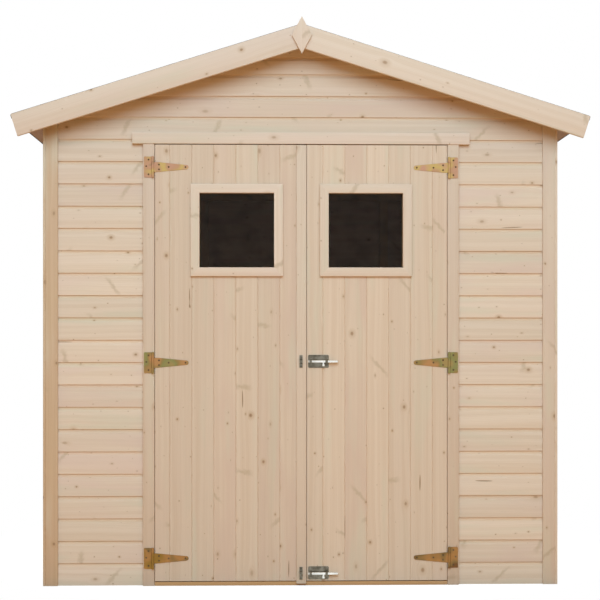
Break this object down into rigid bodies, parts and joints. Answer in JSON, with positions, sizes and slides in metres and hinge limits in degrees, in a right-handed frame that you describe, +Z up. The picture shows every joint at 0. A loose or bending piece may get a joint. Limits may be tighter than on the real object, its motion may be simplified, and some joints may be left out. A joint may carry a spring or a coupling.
{
  "type": "wooden garden shed",
  "caption": "Small gabled garden shed of pale boards on a light frame, with a felted roof and a pair of outward-opening boarded doors with square windows.",
  "frame": {"origin": "on the ground, in the middle of the plan", "axes": "+Z up, -Y out of the doors, +X to the right of someone who faces the doors"},
  "size_m": [2.2536, 2.254, 2.2192],
  "materials": {
    "cladding_wood": "raw planed spruce",
    "door_wood": "raw planed spruce",
    "trim_wood": "raw planed spruce",
    "frame_wood": "raw sawn spruce",
    "roofing_felt": "mineral-faced bitumen felt",
    "clear_pane": "clear",
    "yellow_zinc": "yellow-passivated zinc plate",
    "bright_zinc": "bright zinc plate"
  },
  "bodies": {
    "shed": {"back_rail": "frame_wood", "back_wall": "cladding_wood", "cross_beams": "frame_wood", "door_header": "trim_wood", "door_jambs": "trim_wood", "door_sill": "frame_wood", "floor_bearers": "frame_wood", "floor_deck": "frame_wood", "front_gable": "cladding_wood", "front_wall_left": "cladding_wood", "front_wall_right": "cladding_wood", "gable_corner_boards": "trim_wood", "gable_diamonds": "trim_wood", "left_barge_boards": "trim_wood", "left_hinge_plates": "yellow_zinc", "left_roof_deck": "frame_wood", "left_roof_felt": "roofing_felt", "left_wall": "cladding_wood", "rafters": "frame_wood", "ridge_beam": "frame_wood", "right_barge_boards": "trim_wood", "right_hinge_plates": "yellow_zinc", "right_roof_deck": "frame_wood", "right_roof_felt": "roofing_felt", "right_wall": "cladding_wood", "side_corner_boards": "trim_wood", "side_plates": "frame_wood", "side_rails": "frame_wood", "wall_posts": "frame_wood", "wall_studs": "frame_wood"},
    "left_door": {"bolt_keepers": "bright_zinc", "door_cover_strip": "trim_wood", "left_door_boards": "door_wood", "left_door_brace": "frame_wood", "left_door_ledges": "frame_wood", "left_hinge_straps": "yellow_zinc", "left_window_frame": "trim_wood", "left_window_inner_trim": "trim_wood", "left_window_pane": "clear_pane"},
    "right_door": {"bolt_plates": "bright_zinc", "right_door_boards": "door_wood", "right_door_brace": "frame_wood", "right_door_ledges": "frame_wood", "right_hinge_straps": "yellow_zinc", "right_window_frame": "trim_wood", "right_window_inner_trim": "trim_wood", "right_window_pane": "clear_pane"},
    "middle_bolt": {"middle_bolt_rod": "bright_zinc"},
    "lower_bolt": {"lower_bolt_rod": "bright_zinc"}
  },
  "joints": [
    {"name": "left_door_hinge", "type": "hinge", "parent": "shed", "child": "left_door", "pos_m": [-0.5835, -1.0268, 0.878], "axis": [0, 0, -1], "range_deg": [0, 160]},
    {"name": "right_door_hinge", "type": "hinge", "parent": "shed", "child": "right_door", "pos_m": [0.5835, -1.0268, 0.878], "axis": [0, 0, 1], "range_deg": [0, 160]},
    {"name": "middle_bolt_slide", "type": "slide", "parent": "right_door", "child": "middle_bolt", "axis": [-1, 0, 0], "range_m": [0, 0.038]},
    {"name": "lower_bolt_slide", "type": "slide", "parent": "right_door", "child": "lower_bolt", "axis": [-1, 0, 0], "range_m": [0, 0.038]}
  ]
}
